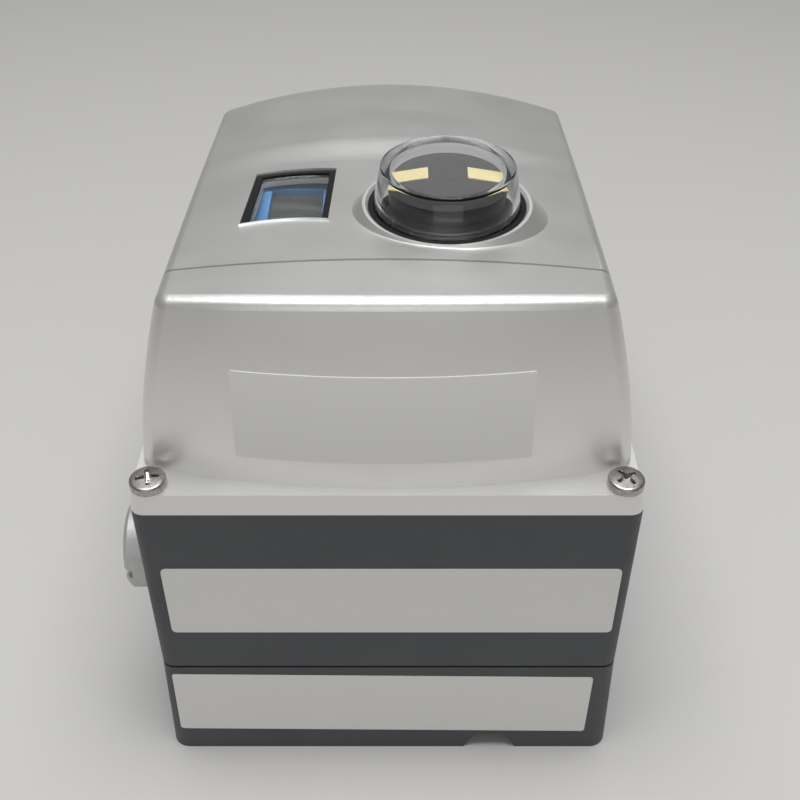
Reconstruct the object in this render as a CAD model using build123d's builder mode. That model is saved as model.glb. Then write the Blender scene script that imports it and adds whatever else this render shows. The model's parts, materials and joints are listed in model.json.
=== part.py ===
from build123d import *
import math
import os

os.makedirs("parts", exist_ok=True)

# Millimetres. The origin is the shaft axis on the mounting plane,
# +Z points out through the dial, and -Y is the labelled front.

# Housing outline in plan
housing_width = 120.0
housing_depth = 174.0
shaft_to_right = 45.5
shaft_to_front = 58.0
corner_radius = 3.5
wall = 4.0

# Base housing
base_height = 34.3
base_flare = 1.0
recess_depth = 9.0
floor_thickness = 3.5
rim_width = 6.0
rib_thickness = 3.0
rib_setback = 2.5
notch_offset = 28.1
notch_width = 14.6
notch_height = 5.7
notch_slant = 62.0
notch_corner = 2.5

# Extension housing
extension_height = 56.5
joint_step = 0.6
joint_height = 0.8
web_rise = 11.7
web_thickness = 3.0
lug_height = 5.0
cover_post_width = 8.5
cover_post_height = 22.0
clearance_hole_gap = 0.25
access_gap = 1.5
cable_slot_from_back = 25.0
cable_slot_width = 40.0
cable_slot_depth = 16.0

# Cover, with heights counted from the top of its flange
flange_height = 5.4
flange_draft = 10.0
skin = 3.0
dome_heights = (16.0, 34.0, 56.0)
dome_side_inset = 2.1
dome_front_inset = 3.3
dome_bow_radius = 221.0
dome_corner = 4.0
side_lean = 0.086
side_curve = 0.0022
front_curve = 0.0034
side_crown_inset = 10.0
side_height = 44.1
side_start = 16.4
roof_slope = 0.15
rear_crown = 6.5
crease_height = 45.07
crease_from_front = 30.2
bevel_slope = 0.10
panel_slope = 0.13
step_from_front = 96.0
step_length = 14.0
ridge_radius = 3.0
roof_overhang = 12.0
roof_facing = 0.8

# Seals between the housings
groove_inset = 0.7
groove_width = 1.6
groove_depth = 1.2
seal_gap = 0.1

# Threads and screws
m4_radius = 2.0
m4_head_radius = 4.0
m4_head_height = 2.7
cover_screw_inset = 4.7
cover_screw_length = 18.0
extension_screw_inset = 16.0
extension_screw_length = 16.0
socket_head_radius = 3.5
socket_head_height = 4.0
thread_gap = 0.08
m3_radius = 1.5
m3_head_radius = 2.8
m3_head_height = 1.8
m4_head_crown = 1.6
cross_length = 4.4
cross_width = 1.0
cross_depth = 1.5
socket_hex_radius = 1.7
socket_depth = 2.2
clamp_screw_radius = 1.25
clamp_screw_head_radius = 2.2
clamp_screw_head = 1.6
clamp_screw_circle = 25.0
clamp_screw_depth = 4.0
bracket_thread_radius = 2.5
bracket_thread_depth = 11.0
bracket_boss_radius = 6.0
bracket_spacing_x = 30.0
bracket_spacing_y = 80.0

# Conduit entries and air ports
conduit_radius = 9.2
conduit_face_radius = 12.0
conduit_block = 11.0
conduit_front = 21.0
conduit_pitch = 38.0
base_conduit_height = 22.0
extension_conduit_rise = 25.7
plug_head_radius = 12.0
plug_head = 6.0
plug_seal = 1.4
plug_head_inset = 0.3
plug_chamfer = 1.0
plug_slot_width = 2.5
plug_slot_depth = 2.0
plug_thread = 9.5
ground_y = 60.0
ground_depth = 8.0
ground_washer_radius = 5.0
thread_end_room = 1.0
filter_hex_radius = 8.5
filter_hex_height = 3.0
filter_dome_radius = 6.0
filter_dome_height = 3.0
filter_dome_edge = 2.1
filter_thread = 10.0
port_radius = 5.9
port_face_radius = 9.5
port_depth = 12.0
port_depth_step = 0.5
port_pitch = 24.0
port_block = 10.0

# Shaft train
shaft_radius = 6.0
shaft_recess = 1.2
tongue_thickness = 4.0
tongue_length = 3.3
shaft_end_radius = 5.0
shaft_end_length = 6.8
shaft_undercut = (0.6, 0.5)
running_gap = 0.05
bush_wall = 2.0
bush_flange = 1.2
seal_level = 14.0
seal_width = 2.4
seal_depth = 1.6
fit_gap = 0.06
shaft_boss_radius = 13.0
feedback_shaft_rise = 3.7
gear_module = 1.0
pressure_angle = 20.0
tooth_root_depth = 1.25
tooth_height = 2.25
shaft_teeth = 40
sensor_teeth = 20
gear_backlash = 0.24
gear_rise = 11.5
gear_thickness = 4.0
gear_hub = 3.0
gear_hub_height = 2.5
coupling_overlap = 7.0
coupling_wall = 3.0
upper_shaft_radius = 5.0
dial_shaft_radius = 4.0
cam_radius = 22.0
cam_low_radius = 14.0
cam_thickness = 3.0
cam_hub = 3.5
cam_rises = (13.5, 33.5)

# Limit switches
switch_radius = 6.0
switch_length = 35.0
switch_gap = 1.5
switch_nut_across = 17.0
switch_nut_height = 4.0
switch_plate = 2.5
switch_plate_y = 38.0
switch_plate_width = 30.0
switch_foot = 10.0
switch_chamfer = 0.6
extension_terminal_x = (-30.0, 30.0)
extension_terminal_y = (-52.0, -38.0)
terminal_height = 16.0
terminal_ways = 10
terminal_well_radius = 1.8
terminal_well_depth = 6.4
terminal_wire_size = (3.6, 4.8)
terminal_wire_level = 4.8
terminal_wire_depth = 4.8

# Dial
dial_ring_height = 44.2
dial_seat_height = 34.0
dial_hole_radius = 19.4
dial_land_radius = 20.8
dial_cone_reach = 6.0
dial_cone_drop = 7.0
dial_collar_radius = 27.5
dial_chamfer = 0.6
clamp_ring_thickness = 2.0
dome_cap_edge = 1.2
dome_cap_radius = 18.1
dome_cap_top_radius = 16.3
dome_cap_height = 54.0
dome_cap_wall = 2.3
dome_cap_top = 2.6
dome_cap_flange = 2.2
dome_cap_flange_radius = 22.5
dome_seal = 1.0
drum_radius = 13.4
drum_wall = 1.8
drum_drop = 1.4
drum_gap = 0.6
drum_bottom_height = 30.6
bar_inner = 4.7
bar_width = 5.5
bar_depth = 0.5
hub_radius = 3.9
bar_stand = 0.15
cap_screw_length = 8.0

# Window and display
window_offset = 25.2
window_from_front = 71.8
window_width = 21.8
window_length = 36.2
window_bow = 1.4
window_recess = 0.7
window_frame_depth = 2.0
window_frame_width = 1.8
pane_thickness = 1.6
window_ledge = 1.4
window_ledge_width = 2.5
bracket_sheet = 2.0
bracket_foot = 9.0
module_edge = 0.8
bezel_corner = 1.5
button_crown = 0.8
display_rise = 19.1
module_height = 6.0
module_reach_x = (22.3, 13.7)
module_reach_y = (27.8, 32.2)
bezel_reach_x = (10.5, 11.7)
bezel_reach_y = (25.8, 20.7)
bezel_height = 4.0
bezel_bar = 4.0
glass_height = 2.5
button_offset = 16.3
button_spacing = 12.0
button_radius = 3.4
button_height = 5.9
button_travel = 1.2
button_gap = 0.3
button_well_depth = 5.1
leg_opening_share = 0.55

# Pieces on the base floor
valve_depth = 29.0
valve_height = 27.0
valve_gap = 1.0
spool_radius = 6.0
spool_play = 2.0
valve_end_cover = 3.0
valve_end_inset = 2.8
spool_land = 9.0
spool_land_pitch = 26.5
spool_stem_radius = 3.3
prestage_size = 28.0
prestage_from_board = 10.0
prestage_valve_gap = 9.0
prestage_height = 15.0
prestage_coil_radius = 9.0
prestage_coil_height = 6.0
sensor_size = 24.0
sensor_height = 9.5
sensor_pin_radius = 2.5
sensor_floor = 3.0
board_side_gap = 24.5
board_front_gap = 8.0
board_valve_gap = 11.0
board_rise = 2.7
board_thickness = 1.6
board_cover_height = 5.6
board_cover_wall = 1.2
pillar_radius = 3.0
pillar_inset = 4.0
pillar_thread = 8.0
board_part_height = 3.0
board_shaft_gap = 1.5
chip_size = 16.0
chip_place = (22.0, 20.0)
connector_size = (12.0, 28.0)
connector_place = (14.0, 55.0)

# Derived places
step_end = step_from_front + step_length
dome_half_width = housing_width / 2 - dome_side_inset
side_half_width = housing_width / 2 - side_crown_inset
roof_reach = housing_width / 2 + roof_overhang
middle_x = shaft_to_right - housing_width / 2
middle_y = housing_depth / 2 - shaft_to_front
left_x = middle_x - housing_width / 2
front_y = -shaft_to_front
back_y = front_y + housing_depth
floor_top = recess_depth + floor_thickness
extension_top = base_height + extension_height
flange_top = extension_top + flange_height
web_height = base_height + web_rise
web_top = web_height + web_thickness
gear_height = floor_top + gear_rise
feedback_shaft_top = base_height + feedback_shaft_rise
coupling_bottom = feedback_shaft_top - coupling_overlap
cam_heights = [web_top + rise for rise in cam_rises]
extension_conduit_height = base_height + extension_conduit_rise
display_level = flange_top + display_rise
board_level = base_height + board_rise
lug_width = extension_screw_inset + bracket_boss_radius - wall / 2
upper_bush_radius = upper_shaft_radius + running_gap + bush_wall
dial_ring = flange_top + dial_ring_height
dial_seat = flange_top + dial_seat_height
dome_cap_top_level = flange_top + dome_cap_height
conduit_y = (front_y + conduit_front, front_y + conduit_front + conduit_pitch)
cover_screw_x = housing_width / 2 - cover_screw_inset
cover_screw_y = housing_depth / 2 - cover_screw_inset
extension_screw_x = housing_width / 2 - extension_screw_inset
extension_screw_y = housing_depth / 2 - extension_screw_inset
window_x = middle_x - window_offset
window_y = front_y + window_from_front
module_x = (window_x - module_reach_x[0], window_x + module_reach_x[1])
module_y = (window_y - module_reach_y[0], window_y + module_reach_y[1])
bezel_x = (window_x - bezel_reach_x[0], window_x + bezel_reach_x[1])
bezel_y = (window_y - bezel_reach_y[0], window_y + bezel_reach_y[1])
button_x = window_x - button_offset
button_y = [window_y + (place - 1.5) * button_spacing for place in range(4)]
valve_reach = extension_screw_x - bracket_boss_radius - valve_gap - valve_end_cover
valve_front = back_y - wall - port_block - valve_depth
valve_x = (middle_x - valve_reach, middle_x + valve_reach)
spool_length = 2 * (valve_reach - spool_play)
board_x = (left_x + board_side_gap, shaft_to_right - board_side_gap)
board_y = (front_y + board_front_gap, valve_front - board_valve_gap)
prestage_x = (board_x[0] + prestage_from_board, board_x[0] + prestage_from_board + prestage_size)
prestage_y = (valve_front - prestage_valve_gap - prestage_size, valve_front - prestage_valve_gap)


def level(height):
    """Horizontal plane at a height, centred on the housing."""
    return Plane(origin=(middle_x, middle_y, height))


def shaft_level(height):
    """Horizontal plane at a height, centred on the shaft."""
    return Plane.XY.offset(height)


def facing_front(x, y, z):
    """Upright plane that looks towards -Y, with X to the right and Z up."""
    return Plane(origin=(x, y, z), x_dir=(1, 0, 0), z_dir=(0, -1, 0))


def facing_left(x, y, z):
    """Upright plane that looks towards -X, with -Y to the right and Z up."""
    return Plane(origin=(x, y, z), x_dir=(0, -1, 0), z_dir=(-1, 0, 0))


def span(x_range, y_range):
    """Rectangle between two X and two Y values, in the shaft's coordinates."""
    width = x_range[1] - x_range[0]
    depth = y_range[1] - y_range[0]
    with Locations(((x_range[0] + x_range[1]) / 2, (y_range[0] + y_range[1]) / 2)):
        Rectangle(width, depth)


def housing_outline(inset):
    """Rounded outline of the housing, drawn in by an inset."""
    radius = max(corner_radius - inset, 1.0)
    RectangleRounded(housing_width - 2 * inset, housing_depth - 2 * inset, radius)


def seal_ring(gap):
    """Outline of the seal groove, narrowed by a gap on each side."""
    housing_outline(groove_inset + gap)
    with Locations((0, 0)):
        inset = groove_inset + groove_width - gap
        radius = max(corner_radius - inset, 0.6)
        RectangleRounded(
            housing_width - 2 * inset, housing_depth - 2 * inset, radius, mode=Mode.SUBTRACT
        )


def revolved(points):
    """Solid of revolution about the shaft axis from (radius, height) points."""
    with BuildPart() as turned:
        with BuildSketch(Plane.XZ):
            with BuildLine():
                Polyline(*points, close=True)
            make_face()
        revolve(axis=Axis.Z)
    return turned.part


def finish(piece, name):
    """Label a finished piece and write it."""
    piece.part.label = name
    export_step(piece.part, f"parts/{name}.step")


# Base housing: a tray whose walls flare to the mounting rim
with BuildPart() as base_housing:
    with BuildSketch(level(0)):
        housing_outline(-base_flare)
    extrude(amount=base_height, taper=math.degrees(math.atan(base_flare / base_height)))
    with BuildSketch(level(0)):
        housing_outline(rim_width)
    extrude(amount=recess_depth, mode=Mode.SUBTRACT)
    with BuildSketch(level(floor_top)):
        housing_outline(wall)
    extrude(amount=base_height - floor_top, mode=Mode.SUBTRACT)
    # Ribs under the floor: a frame through the bracket bosses, carried to the side rims
    with BuildSketch(shaft_level(rib_setback)):
        with GridLocations(bracket_spacing_x, 0, 2, 1):
            Rectangle(rib_thickness, bracket_spacing_y)
        with Locations((middle_x, 0)):
            with GridLocations(0, bracket_spacing_y, 1, 2):
                Rectangle(housing_width - rim_width, rib_thickness)
    extrude(amount=recess_depth - rib_setback)
    with BuildSketch(shaft_level(0)):
        with GridLocations(bracket_spacing_x, bracket_spacing_y, 2, 2):
            Circle(bracket_boss_radius)
    extrude(amount=recess_depth)
    # Boss round the shaft, inside the tray
    with BuildSketch(shaft_level(recess_depth)):
        Circle(shaft_boss_radius)
    extrude(amount=gear_height - recess_depth - 2 * bush_flange)
    # Posts for the extension's screws
    with BuildSketch(level(floor_top)):
        with GridLocations(2 * extension_screw_x, 2 * extension_screw_y, 2, 2):
            Circle(bracket_boss_radius)
    extrude(amount=base_height - floor_top)
    # Blocks behind the conduit entries and the air ports
    with BuildSketch(shaft_level(floor_top)):
        span(
            (left_x + wall / 2, left_x + conduit_block),
            (conduit_y[0] - conduit_face_radius, conduit_y[1] + conduit_face_radius),
        )
        span(
            (middle_x - 2 * port_pitch, middle_x + 2 * port_pitch),
            (back_y - wall - port_block, back_y - wall / 2),
        )
        span(
            (left_x + wall / 2, left_x + ground_depth + wall / 2),
            (ground_y - bracket_boss_radius, ground_y + bracket_boss_radius),
        )
    extrude(amount=base_height - floor_top)
    # Holes
    with BuildSketch(shaft_level(recess_depth)):
        Circle(shaft_radius + running_gap + bush_wall)
    extrude(amount=gear_height, mode=Mode.SUBTRACT)
    with BuildSketch(shaft_level(0)):
        with GridLocations(bracket_spacing_x, bracket_spacing_y, 2, 2):
            Circle(bracket_thread_radius)
    extrude(amount=bracket_thread_depth, mode=Mode.SUBTRACT)
    with BuildSketch(level(base_height)):
        with GridLocations(2 * extension_screw_x, 2 * extension_screw_y, 2, 2):
            Circle(m4_radius + thread_gap)
    extrude(amount=-extension_screw_length, mode=Mode.SUBTRACT)
    for entry_y in conduit_y:
        with BuildSketch(facing_left(left_x, entry_y, base_conduit_height)):
            Circle(conduit_face_radius)
        extrude(amount=base_flare, mode=Mode.SUBTRACT)
        with BuildSketch(facing_left(left_x, entry_y, base_conduit_height)):
            Circle(conduit_radius)
        extrude(amount=-conduit_block, mode=Mode.SUBTRACT)
    with BuildSketch(facing_left(left_x, ground_y, base_conduit_height)):
        Circle(m4_head_radius + 2 * bush_flange)
    extrude(amount=base_flare, mode=Mode.SUBTRACT)
    with BuildSketch(facing_left(left_x, ground_y, base_conduit_height)):
        Circle(m4_radius + thread_gap)
    extrude(amount=-ground_depth, mode=Mode.SUBTRACT)
    for index in range(4):
        port_x = middle_x + (index - 1.5) * port_pitch
        with BuildSketch(facing_front(port_x, back_y, base_conduit_height)):
            Circle(port_face_radius)
        extrude(amount=-base_flare, mode=Mode.SUBTRACT)
        with BuildSketch(facing_front(port_x, back_y, base_conduit_height)):
            Circle(port_radius)
        extrude(amount=port_depth + (index - 1) * port_depth_step, mode=Mode.SUBTRACT)
    # Seal groove and the arched notch in the front rim
    with BuildSketch(level(base_height)):
        seal_ring(0)
    extrude(amount=-groove_depth, mode=Mode.SUBTRACT)
    with BuildSketch(facing_front(middle_x + notch_offset, front_y - base_flare, 0)) as notch:
        Trapezoid(notch_width, notch_height, notch_slant, align=(Align.CENTER, Align.MIN))
        fillet(notch.vertices().group_by(Axis.Y)[-1], notch_corner)
    extrude(amount=-(rim_width + 2 * base_flare), mode=Mode.SUBTRACT)
finish(base_housing, "base_housing")


with BuildPart() as base_gasket:
    with BuildSketch(level(base_height - groove_depth)):
        seal_ring(seal_gap)
    extrude(amount=groove_depth)
finish(base_gasket, "base_gasket")


# Extension housing: a straight ring with a web across it
with BuildPart() as extension_housing:
    with BuildSketch(level(base_height)):
        housing_outline(joint_step)
    extrude(amount=joint_height)
    with BuildSketch(level(base_height + joint_height)):
        housing_outline(0)
    extrude(amount=extension_height - joint_height)
    with BuildSketch(level(base_height)):
        housing_outline(wall)
    extrude(amount=extension_height, mode=Mode.SUBTRACT)
    with BuildSketch(level(web_height)):
        housing_outline(wall / 2)
    extrude(amount=web_thickness)
    # Lugs for the screws into the base
    with BuildSketch(level(base_height)):
        with GridLocations(
            housing_width - wall - lug_width, housing_depth - wall - lug_width, 2, 2
        ):
            RectangleRounded(lug_width, lug_width, corner_radius)
    extrude(amount=lug_height)
    # Posts for the cover's screws
    with BuildSketch(level(extension_top - cover_post_height)):
        with GridLocations(
            housing_width - wall - cover_post_width, housing_depth - wall - cover_post_width, 2, 2
        ):
            RectangleRounded(cover_post_width, cover_post_width, corner_radius / 2)
    extrude(amount=cover_post_height)
    # Boss for the upper bush, and the block behind the conduit entries
    with BuildSketch(shaft_level(web_height - web_thickness)):
        Circle(upper_bush_radius + wall)
    extrude(amount=3 * web_thickness)
    with BuildSketch(shaft_level(web_height)):
        span(
            (left_x + wall / 2, left_x + conduit_block),
            (conduit_y[0] - conduit_face_radius, conduit_y[1] + conduit_face_radius),
        )
    extrude(amount=extension_conduit_height + conduit_face_radius + wall / 2 - web_height)
    # Shaft bore, screw holes, access holes over the lower screws and a cable slot
    with BuildSketch(shaft_level(base_height)):
        Circle(upper_bush_radius + fit_gap)
    extrude(amount=extension_height, mode=Mode.SUBTRACT)
    with BuildSketch(level(extension_top)):
        with GridLocations(2 * cover_screw_x, 2 * cover_screw_y, 2, 2):
            Circle(m4_radius + thread_gap)
    extrude(amount=-cover_screw_length, mode=Mode.SUBTRACT)
    with BuildSketch(level(base_height)):
        with GridLocations(2 * extension_screw_x, 2 * extension_screw_y, 2, 2):
            Circle(m4_radius + clearance_hole_gap)
    extrude(amount=lug_height, mode=Mode.SUBTRACT)
    with BuildSketch(level(web_height)):
        with GridLocations(2 * extension_screw_x, 2 * extension_screw_y, 2, 2):
            Circle(socket_head_radius + access_gap)
        with Locations((0, housing_depth / 2 - cable_slot_from_back)):
            RectangleRounded(cable_slot_width, cable_slot_depth, corner_radius)
    extrude(amount=web_thickness, mode=Mode.SUBTRACT)
    for entry_y in conduit_y:
        with BuildSketch(facing_left(left_x, entry_y, extension_conduit_height)):
            Circle(conduit_radius)
        extrude(amount=-conduit_block, mode=Mode.SUBTRACT)
    with BuildSketch(level(extension_top)):
        seal_ring(0)
    extrude(amount=-groove_depth, mode=Mode.SUBTRACT)
finish(extension_housing, "extension_housing")


with BuildPart() as cover_gasket:
    with BuildSketch(level(extension_top - groove_depth)):
        seal_ring(seal_gap)
    extrude(amount=groove_depth)
finish(cover_gasket, "cover_gasket")


def dome_plan(height, depth):
    """Half width, front centre and corner of the dome's plan, drawn in by a depth."""
    half_width = dome_half_width - side_lean * height - side_curve * height**2 - depth
    front = housing_depth / 2 - dome_front_inset - front_curve * height**2 - depth
    bow = dome_bow_radius - math.sqrt(dome_bow_radius**2 - half_width**2)
    return half_width, front, front - bow


def roof_side(from_front):
    """Height of the roof's straight side line over the flange."""
    return side_height - roof_slope * (from_front - side_start)


def roof_middle(from_front):
    """Height of the roof's middle line over the flange: bevel, panel, step, rear."""
    if from_front <= crease_from_front:
        return crease_height + bevel_slope * (crease_from_front - from_front)
    if from_front <= step_from_front:
        return crease_height - panel_slope * (from_front - crease_from_front)
    if from_front >= step_end:
        return roof_side(from_front) + rear_crown
    share = (from_front - step_from_front) / step_length
    low = roof_middle(step_from_front)
    high = roof_middle(step_end)
    rise = 3 * share**2 - 2 * share**3
    leave = (share**3 - 2 * share**2 + share) * step_length * panel_slope
    arrive = (share**3 - share**2) * step_length * roof_slope
    return low + (high - low) * rise - leave - arrive


def dome_form(depth, lowest):
    """The dome's solid, drawn in by a depth, from a lowest height over the flange."""
    roof_strips = (
        (-side_start, crease_from_front),
        (crease_from_front, step_from_front),
        tuple(step_from_front + step_length * part / 4 for part in range(5)),
        (step_end, housing_depth + side_start),
    )
    with BuildPart() as form:
        for height in (lowest, *dome_heights):
            half_width, front, corner = dome_plan(height, depth)
            with BuildSketch(level(flange_top + height)) as plan:
                with BuildLine():
                    ThreePointArc((-half_width, -corner), (0, -front), (half_width, -corner))
                    Line((half_width, -corner), (half_width, corner))
                    ThreePointArc((half_width, corner), (0, front), (-half_width, corner))
                    Line((-half_width, corner), (-half_width, -corner))
                make_face()
                fillet(plan.vertices(), max(dome_corner - depth, 1.0))
        loft()
        # Each strip of the roof is a crowned surface between arcs across the housing
        for stations in roof_strips:
            for from_front in stations:
                crown = roof_middle(from_front) - roof_side(from_front)
                arc_radius = (side_half_width**2 + crown**2) / (2 * crown)
                drop = arc_radius - math.sqrt(arc_radius**2 - roof_reach**2)
                middle = roof_middle(from_front) - depth
                with BuildSketch(facing_front(middle_x, front_y + from_front, flange_top)):
                    with BuildLine():
                        ThreePointArc(
                            (-roof_reach, middle - drop), (0, middle), (roof_reach, middle - drop)
                        )
                        Polyline(
                            (roof_reach, middle - drop),
                            (roof_reach, housing_width),
                            (-roof_reach, housing_width),
                            (-roof_reach, middle - drop),
                        )
                    make_face()
            loft(ruled=len(stations) == 2, mode=Mode.SUBTRACT)
    return form.part


def panel_height(x, y):
    """Height of the front panel's surface at a place in the shaft's coordinates."""
    from_front = y - front_y
    crown = roof_middle(from_front) - roof_side(from_front)
    return flange_top + roof_middle(from_front) - crown * ((x - middle_x) / side_half_width) ** 2


def window_outline(inset):
    """Window outline with straight sides and ends that bow to the back."""
    half_width = window_width / 2 - inset
    half_length = window_length / 2 - inset
    with BuildSketch(Plane.XY) as outline:
        with BuildLine():
            Line((half_width, -half_length), (half_width, half_length))
            ThreePointArc(
                (half_width, half_length),
                (0, half_length + window_bow),
                (-half_width, half_length),
            )
            Line((-half_width, half_length), (-half_width, -half_length))
            ThreePointArc(
                (-half_width, -half_length),
                (0, -half_length + window_bow),
                (half_width, -half_length),
            )
        make_face()
    return outline.sketch


window_z = panel_height(window_x, window_y)
window_tilt_x = panel_height(window_x + 1, window_y) - window_z
window_tilt_y = panel_height(window_x, window_y + 1) - window_z
window_plane = Plane(
    origin=(window_x, window_y, window_z),
    x_dir=(1, 0, window_tilt_x),
    z_dir=(-window_tilt_x, -window_tilt_y, 1),
)
pane_level = -window_recess - window_frame_depth - pane_thickness


# Cover: flange, hollow dome, dial collar and window seat
with BuildPart() as cover:
    add(dome_form(0.0, -1.0))
    roof = [face for face in cover.faces() if face.normal_at().Z > roof_facing]
    roof_edges = [edge for face in roof for edge in face.edges()]
    rim = [edge for edge in roof_edges if sum(edge.is_same(other) for other in roof_edges) == 1]
    fillet(rim, ridge_radius)
    # Land and cone round the dial, and the collar that carries the clear cap
    add(
        revolved(
            [
                (0, dial_ring),
                (dial_land_radius, dial_ring),
                (dial_land_radius + dial_cone_reach, dial_ring - dial_cone_drop),
                (0, dial_ring - dial_cone_drop),
            ]
        )
    )
    with BuildSketch(level(extension_top)):
        housing_outline(0)
    extrude(amount=flange_height, taper=flange_draft)
    add(dome_form(skin, -flange_height), mode=Mode.SUBTRACT)
    with BuildPart(mode=Mode.PRIVATE) as inside_pads:
        with BuildSketch(shaft_level(dial_seat)):
            Circle(dial_collar_radius)
        extrude(amount=dial_ring - dial_seat)
        with BuildSketch(window_plane.offset(pane_level - window_ledge)):
            add(window_outline(-window_ledge_width))
        extrude(amount=-pane_level)
        add(dome_form(skin / 2, -flange_height), mode=Mode.INTERSECT)
    add(inside_pads.part)
    with BuildSketch(shaft_level(dial_seat - skin)):
        Circle(dial_collar_radius + clearance_hole_gap)
    extrude(amount=skin, mode=Mode.SUBTRACT)
    with BuildSketch(shaft_level(dial_seat - skin)):
        Circle(dial_hole_radius)
    extrude(amount=dial_ring_height, mode=Mode.SUBTRACT)
    with BuildSketch(window_plane.offset(pane_level)):
        add(window_outline(0))
    extrude(amount=-2 * pane_level, mode=Mode.SUBTRACT)
    with BuildSketch(window_plane.offset(pane_level - 2 * skin)):
        add(window_outline(window_frame_width))
    extrude(amount=-3 * pane_level, mode=Mode.SUBTRACT)
    with BuildSketch(level(extension_top)):
        with GridLocations(2 * cover_screw_x, 2 * cover_screw_y, 2, 2):
            Circle(m4_radius + clearance_hole_gap)
    extrude(amount=flange_height, mode=Mode.SUBTRACT)
    with BuildSketch(shaft_level(dial_seat)):
        with PolarLocations(clamp_screw_circle, 3, start_angle=90):
            Circle(clamp_screw_radius + thread_gap)
    extrude(amount=clamp_screw_depth, mode=Mode.SUBTRACT)
    hole_edge = cover.edges().filter_by(GeomType.CIRCLE).filter_by(
        lambda edge: abs(edge.radius - dial_hole_radius) < 0.01
    )
    chamfer(hole_edge.sort_by(Axis.Z)[-1], dial_chamfer)
finish(cover, "cover")


# Cover screws: pan heads with a cross recess, in the corners of the flange
with BuildPart() as cover_screws:
    with BuildSketch(level(flange_top)):
        with GridLocations(2 * cover_screw_x, 2 * cover_screw_y, 2, 2):
            Circle(m4_head_radius)
    extrude(amount=m4_head_height)
    fillet(cover_screws.edges().group_by(Axis.Z)[-1], m4_head_crown)
    with BuildSketch(level(flange_top - cover_screw_length + flange_height - thread_gap)):
        with GridLocations(2 * cover_screw_x, 2 * cover_screw_y, 2, 2):
            Circle(m4_radius)
    extrude(amount=cover_screw_length - flange_height + thread_gap)
    with BuildSketch(level(flange_top + m4_head_height - cross_depth)):
        with GridLocations(2 * cover_screw_x, 2 * cover_screw_y, 2, 2):
            Rectangle(cross_length, cross_width)
            Rectangle(cross_width, cross_length)
    extrude(amount=cross_depth, mode=Mode.SUBTRACT)
finish(cover_screws, "cover_screws")


# Socket head screws that hold the extension on the base
with BuildPart() as extension_screws:
    lug_top = base_height + lug_height
    with BuildSketch(level(lug_top)):
        with GridLocations(2 * extension_screw_x, 2 * extension_screw_y, 2, 2):
            Circle(socket_head_radius)
    extrude(amount=socket_head_height)
    with BuildSketch(level(lug_top + socket_head_height - socket_depth)):
        with GridLocations(2 * extension_screw_x, 2 * extension_screw_y, 2, 2):
            RegularPolygon(socket_hex_radius, 6)
    extrude(amount=socket_depth, mode=Mode.SUBTRACT)
    with BuildSketch(level(lug_top)):
        with GridLocations(2 * extension_screw_x, 2 * extension_screw_y, 2, 2):
            Circle(m4_radius)
    extrude(amount=-(lug_height + extension_screw_length - thread_end_room))
finish(extension_screws, "extension_screws")


# Clear dial cap: a foot under the collar, a straight neck and a conical top
cap_foot = dial_seat - dome_seal - dome_cap_flange
cap_inner = dome_cap_radius - dome_cap_wall
cap_inner_top = dome_cap_top_radius - dome_cap_wall
with BuildPart() as indicator_dome:
    with BuildSketch(Plane.XZ) as section:
        with BuildLine():
            Polyline(
                (cap_inner, cap_foot),
                (dome_cap_flange_radius, cap_foot),
                (dome_cap_flange_radius, cap_foot + dome_cap_flange),
                (dome_cap_radius, cap_foot + dome_cap_flange),
                (dome_cap_radius, dial_ring),
                (dome_cap_top_radius, dome_cap_top_level),
                (0, dome_cap_top_level),
                (0, dome_cap_top_level - dome_cap_top),
                (cap_inner_top, dome_cap_top_level - dome_cap_top),
                (cap_inner, dial_ring),
                close=True,
            )
        make_face()
        top_rim = section.vertices().group_by(Axis.Y)[-1].sort_by(Axis.X)[-1]
        fillet(top_rim, dome_cap_edge)
    revolve(axis=Axis.Z)
finish(indicator_dome, "indicator_dome")


# Rubber sleeve between the cap and the cover
with BuildPart() as dome_gasket:
    add(
        revolved(
            [
                (dome_cap_radius + seal_gap, dial_seat - dome_seal),
                (dome_cap_flange_radius, dial_seat - dome_seal),
                (dome_cap_flange_radius, dial_seat),
                (dial_hole_radius - seal_gap, dial_seat),
                (dial_hole_radius - seal_gap, dial_ring - dial_chamfer),
                (dome_cap_radius + seal_gap, dial_ring - dial_chamfer / 2),
            ]
        )
    )
finish(dome_gasket, "dome_gasket")


# Ring that clamps the cap's foot against the collar
with BuildPart() as dome_clamp_ring:
    add(
        revolved(
            [
                (cap_inner, cap_foot - clamp_ring_thickness),
                (dial_collar_radius, cap_foot - clamp_ring_thickness),
                (dial_collar_radius, dial_seat),
                (dome_cap_flange_radius + seal_gap, dial_seat),
                (dome_cap_flange_radius + seal_gap, cap_foot),
                (cap_inner, cap_foot),
            ]
        )
    )
    with BuildSketch(shaft_level(cap_foot - clamp_ring_thickness)):
        with PolarLocations(clamp_screw_circle, 3, start_angle=90):
            Circle(clamp_screw_radius + thread_gap)
    extrude(amount=dial_seat, mode=Mode.SUBTRACT)
finish(dome_clamp_ring, "dome_clamp_ring")


with BuildPart() as clamp_screws:
    with BuildSketch(shaft_level(cap_foot - clamp_ring_thickness)):
        with PolarLocations(clamp_screw_circle, 3, start_angle=90):
            Circle(clamp_screw_head_radius)
    extrude(amount=-clamp_screw_head)
    with BuildSketch(shaft_level(cap_foot - clamp_ring_thickness)):
        with PolarLocations(clamp_screw_circle, 3, start_angle=90):
            Circle(clamp_screw_radius)
    extrude(amount=dial_seat - cap_foot + clamp_ring_thickness + clamp_screw_depth - fit_gap)
finish(clamp_screws, "clamp_screws")


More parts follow.
